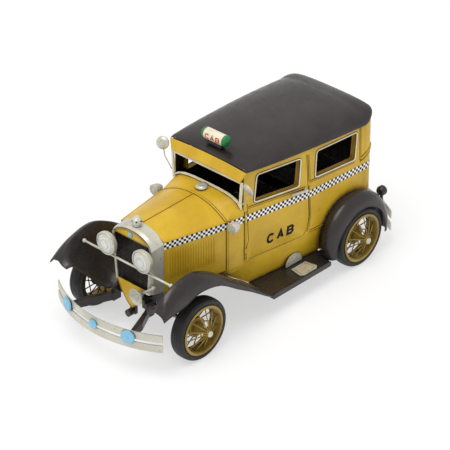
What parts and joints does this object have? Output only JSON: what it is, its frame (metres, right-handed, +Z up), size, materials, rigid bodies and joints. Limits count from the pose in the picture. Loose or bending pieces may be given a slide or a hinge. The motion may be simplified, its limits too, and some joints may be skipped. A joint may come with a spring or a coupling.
{
  "type": "friction tin toy taxi",
  "caption": "Tin toy taxi of late 1920s style with pressed body, wire wheels on two turning axles and a geared flywheel friction drive on the rear axle.",
  "frame": {"origin": "on the floor, in the middle of the car, midway between the two axles", "axes": "+Z up, -Y towards the front bumper, +X towards the car's left side"},
  "size_m": [0.1508, 0.3272, 0.1569],
  "materials": {
    "mustard_paint": "satin mustard yellow with a brown antique wash in the seams",
    "black_paint": "satin brown-black",
    "silver_paint": "satin pewter silver with grime",
    "cream_paint": "satin cream",
    "milky_lens": "milky, softly glossy",
    "green_paint": "gloss green",
    "blue_paint": "satin light blue",
    "gold_paint": "satin old gold with a brown wash",
    "tyre_rubber": "matte black rubber",
    "motor_steel": "plain drawn and stamped steel"
  },
  "bodies": {
    "car": {"chassis_frame": "black_paint", "floor_pan": "black_paint", "body_left": "mustard_paint", "body_right": "mustard_paint", "body_back": "mustard_paint", "cowl": "mustard_paint", "dashboard": "black_paint", "hood_top": "mustard_paint", "hood_left": "mustard_paint", "hood_right": "mustard_paint", "radiator_shell": "silver_paint", "radiator_core": "black_paint", "radiator_panel": "mustard_paint", "radiator_cap": "silver_paint", "front_apron": "mustard_paint", "headlamp_bar": "silver_paint", "headlamps": "silver_paint", "headlamp_lenses": "milky_lens", "horn": "silver_paint", "cowl_lamps": "silver_paint", "gas_cap": "silver_paint", "windshield_frame": "cream_paint", "sun_visor": "mustard_paint", "roof_panel": "black_paint", "sign_tube": "cream_paint", "sign_caps": "green_paint", "sign_stand": "black_paint", "window_trims": "cream_paint", "door_handles": "silver_paint", "mirrors": "silver_paint", "front_fender_left": "black_paint", "front_fender_right": "black_paint", "rear_fender_left": "black_paint", "rear_fender_right": "black_paint", "running_boards": "black_paint", "splash_aprons": "mustard_paint", "step_plates": "silver_paint", "front_bumper_bars": "silver_paint", "rear_bumper_bars": "silver_paint", "bumper_discs": "blue_paint", "bumper_brackets": "black_paint", "tail_lamps": "black_paint", "seats": "black_paint", "steering_wheel": "black_paint", "motor_frame": "motor_steel"},
    "front_wheelset": {"front_axle": "motor_steel", "tyre_front_left": "tyre_rubber", "tyre_front_right": "tyre_rubber", "wheel_front_left": "gold_paint", "wheel_front_right": "gold_paint", "hub_caps_front": "silver_paint"},
    "rear_wheelset": {"rear_axle": "motor_steel", "tyre_rear_left": "tyre_rubber", "tyre_rear_right": "tyre_rubber", "wheel_rear_left": "gold_paint", "wheel_rear_right": "gold_paint", "hub_caps_rear": "silver_paint", "axle_gear": "motor_steel"},
    "idler": {"idler_gears": "motor_steel"},
    "flywheel": {"flywheel": "motor_steel"}
  },
  "joints": [
    {"name": "front_axle_spin", "type": "hinge", "parent": "car", "child": "front_wheelset", "pos_m": [0, -0.1, 0.0281], "axis": [1, 0, 0], "continuous": true},
    {"name": "rear_axle_spin", "type": "hinge", "parent": "car", "child": "rear_wheelset", "pos_m": [0, 0.1, 0.0281], "axis": [1, 0, 0], "continuous": true},
    {"name": "idler_spin", "type": "hinge", "parent": "car", "child": "idler", "pos_m": [0, 0.09229, 0.03729], "axis": [1, 0, 0], "continuous": true},
    {"name": "flywheel_spin", "type": "hinge", "parent": "car", "child": "flywheel", "pos_m": [0, 0.08047, 0.03938], "axis": [1, 0, 0], "continuous": true}
  ],
  "couplings": [
    {"joint": "idler_spin", "follows": "rear_axle_spin", "ratio": -3},
    {"joint": "flywheel_spin", "follows": "rear_axle_spin", "ratio": 9}
  ]
}
